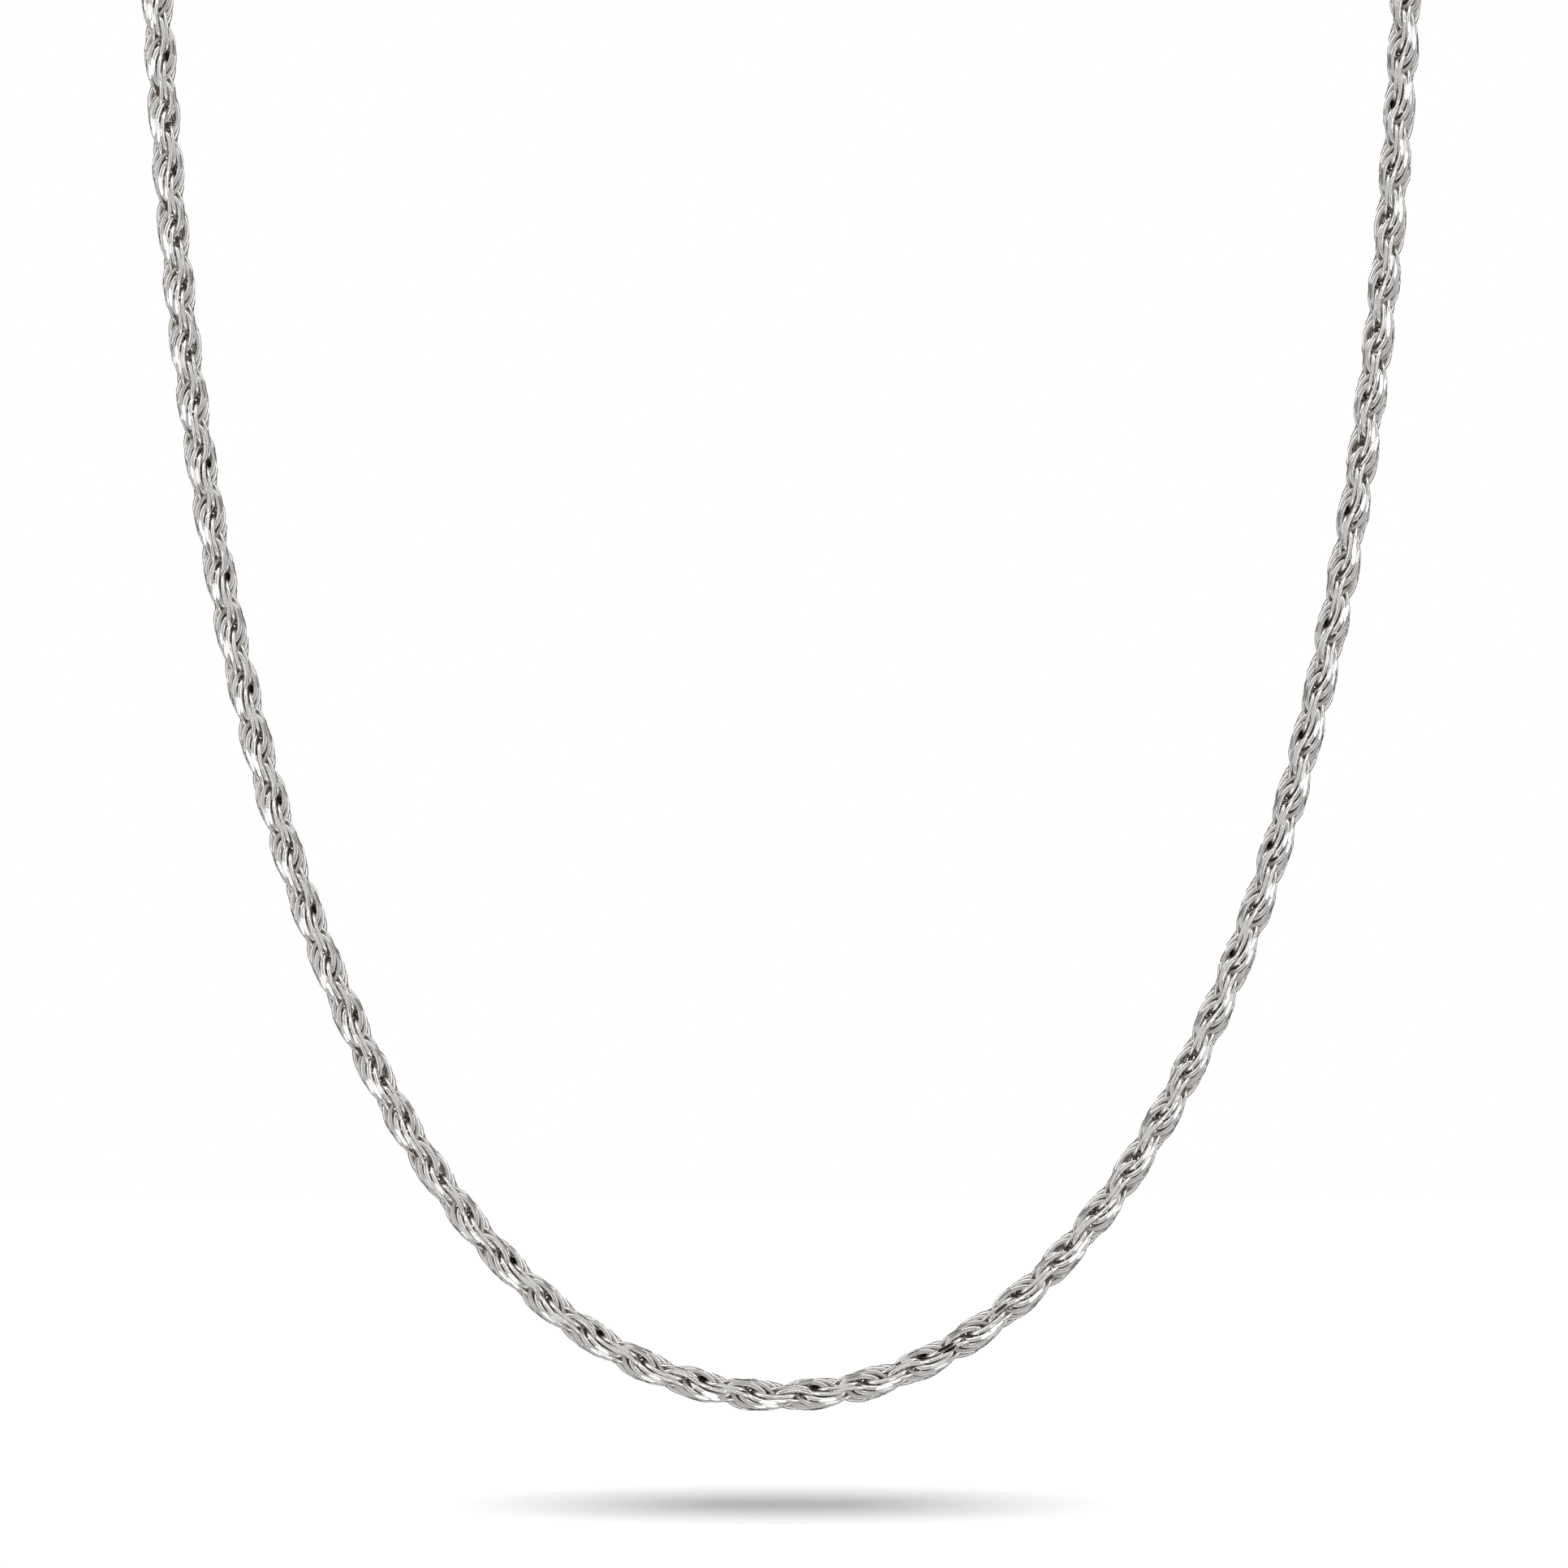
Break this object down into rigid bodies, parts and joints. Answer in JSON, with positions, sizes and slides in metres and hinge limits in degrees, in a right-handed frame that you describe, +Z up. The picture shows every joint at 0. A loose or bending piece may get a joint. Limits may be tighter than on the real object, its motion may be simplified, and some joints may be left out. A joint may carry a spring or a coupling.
{
  "type": "chain necklace",
  "caption": "Silver rope-chain necklace of small oval links wound together, closed at the nape by end caps, rings and a lobster clasp.",
  "frame": {"origin": "middle of the closed clasp at the nape, on the line of the loop", "axes": "+Z up, -Y to the wearer's front, +X to the side of the catch ring; the front of the loop hangs upright in a plane across Y"},
  "size_m": [0.1054, 0.0716, 0.1628],
  "materials": {
    "rope": "polished, with flat bright cuts",
    "fittings": "polished",
    "spring": "drawn"
  },
  "bodies": {
    "nape": {"rope_nape_left": "rope", "rope_nape_right": "rope", "end_cap_left": "fittings", "end_cap_right": "fittings"},
    "jump_ring": {"jump_ring": "fittings"},
    "clasp": {"clasp_body": "fittings", "clasp_rivet": "fittings", "clasp_spring": "spring"},
    "lever": {"clasp_lever": "fittings"},
    "catch_ring": {"catch_ring": "fittings"},
    "front_1": {"rope_left_1": "rope", "rope_right_1": "rope"},
    "front_2": {"rope_left_2": "rope", "rope_right_2": "rope"},
    "front_3": {"rope_left_3": "rope", "rope_right_3": "rope"},
    "front_4": {"rope_left_4": "rope", "rope_right_4": "rope"},
    "front_5": {"rope_left_5": "rope", "rope_right_5": "rope"},
    "front_6": {"rope_left_6": "rope", "rope_right_6": "rope"},
    "front_7": {"rope_left_7": "rope", "rope_right_7": "rope"},
    "front_8": {"rope_left_8": "rope", "rope_right_8": "rope"},
    "front_9": {"rope_bottom": "rope"}
  },
  "joints": [
    {"name": "jump_ring_swing", "type": "hinge", "parent": "nape", "child": "jump_ring", "pos_m": [-0.0069, 0, 0], "axis": [0, 0, 1], "range_deg": [-8, 8]},
    {"name": "clasp_swing", "type": "hinge", "parent": "jump_ring", "child": "clasp", "pos_m": [-0.00532, 0, 0], "axis": [0, 0, 1], "range_deg": [-8, 8]},
    {"name": "catch_ring_swing", "type": "hinge", "parent": "nape", "child": "catch_ring", "pos_m": [0.0069, 0, 0], "axis": [0, 0, 1], "range_deg": [-11.7, 11.7]},
    {"name": "lever_press", "type": "hinge", "parent": "clasp", "child": "lever", "pos_m": [-0.00062, 0, 0.00135], "axis": [0, 1, 0], "range_deg": [0, 20], "stiffness_Nm_per_rad": 0.002, "springref_deg": -11.46, "deforming": ["clasp_spring"]},
    {"name": "front_swing_1", "type": "hinge", "parent": "nape", "child": "front_1", "pos_m": [0.05043, -0.068, -0.048], "axis": [1, 0, 0], "range_deg": [-3, 3]},
    {"name": "front_swing_2", "type": "hinge", "parent": "front_1", "child": "front_2", "pos_m": [0.0496, -0.068, -0.06], "axis": [1, 0, 0], "range_deg": [-3, 3]},
    {"name": "front_swing_3", "type": "hinge", "parent": "front_2", "child": "front_3", "pos_m": [0.04841, -0.068, -0.072], "axis": [1, 0, 0], "range_deg": [-3, 3]},
    {"name": "front_swing_4", "type": "hinge", "parent": "front_3", "child": "front_4", "pos_m": [0.04677, -0.068, -0.084], "axis": [1, 0, 0], "range_deg": [-3, 3]},
    {"name": "front_swing_5", "type": "hinge", "parent": "front_4", "child": "front_5", "pos_m": [0.0446, -0.068, -0.096], "axis": [1, 0, 0], "range_deg": [-3, 3]},
    {"name": "front_swing_6", "type": "hinge", "parent": "front_5", "child": "front_6", "pos_m": [0.04174, -0.068, -0.108], "axis": [1, 0, 0], "range_deg": [-3, 3]},
    {"name": "front_swing_7", "type": "hinge", "parent": "front_6", "child": "front_7", "pos_m": [0.03794, -0.068, -0.12], "axis": [1, 0, 0], "range_deg": [-3, 3]},
    {"name": "front_swing_8", "type": "hinge", "parent": "front_7", "child": "front_8", "pos_m": [0.03277, -0.068, -0.132], "axis": [1, 0, 0], "range_deg": [-3, 3]},
    {"name": "front_swing_9", "type": "hinge", "parent": "front_8", "child": "front_9", "pos_m": [0.02516, -0.068, -0.144], "axis": [1, 0, 0], "range_deg": [-3, 3]}
  ],
  "couplings": [
    {"joint": "clasp_swing", "follows": "jump_ring_swing", "ratio": -1},
    {"joint": "catch_ring_swing", "follows": "jump_ring_swing", "ratio": -1.4495}
  ]
}
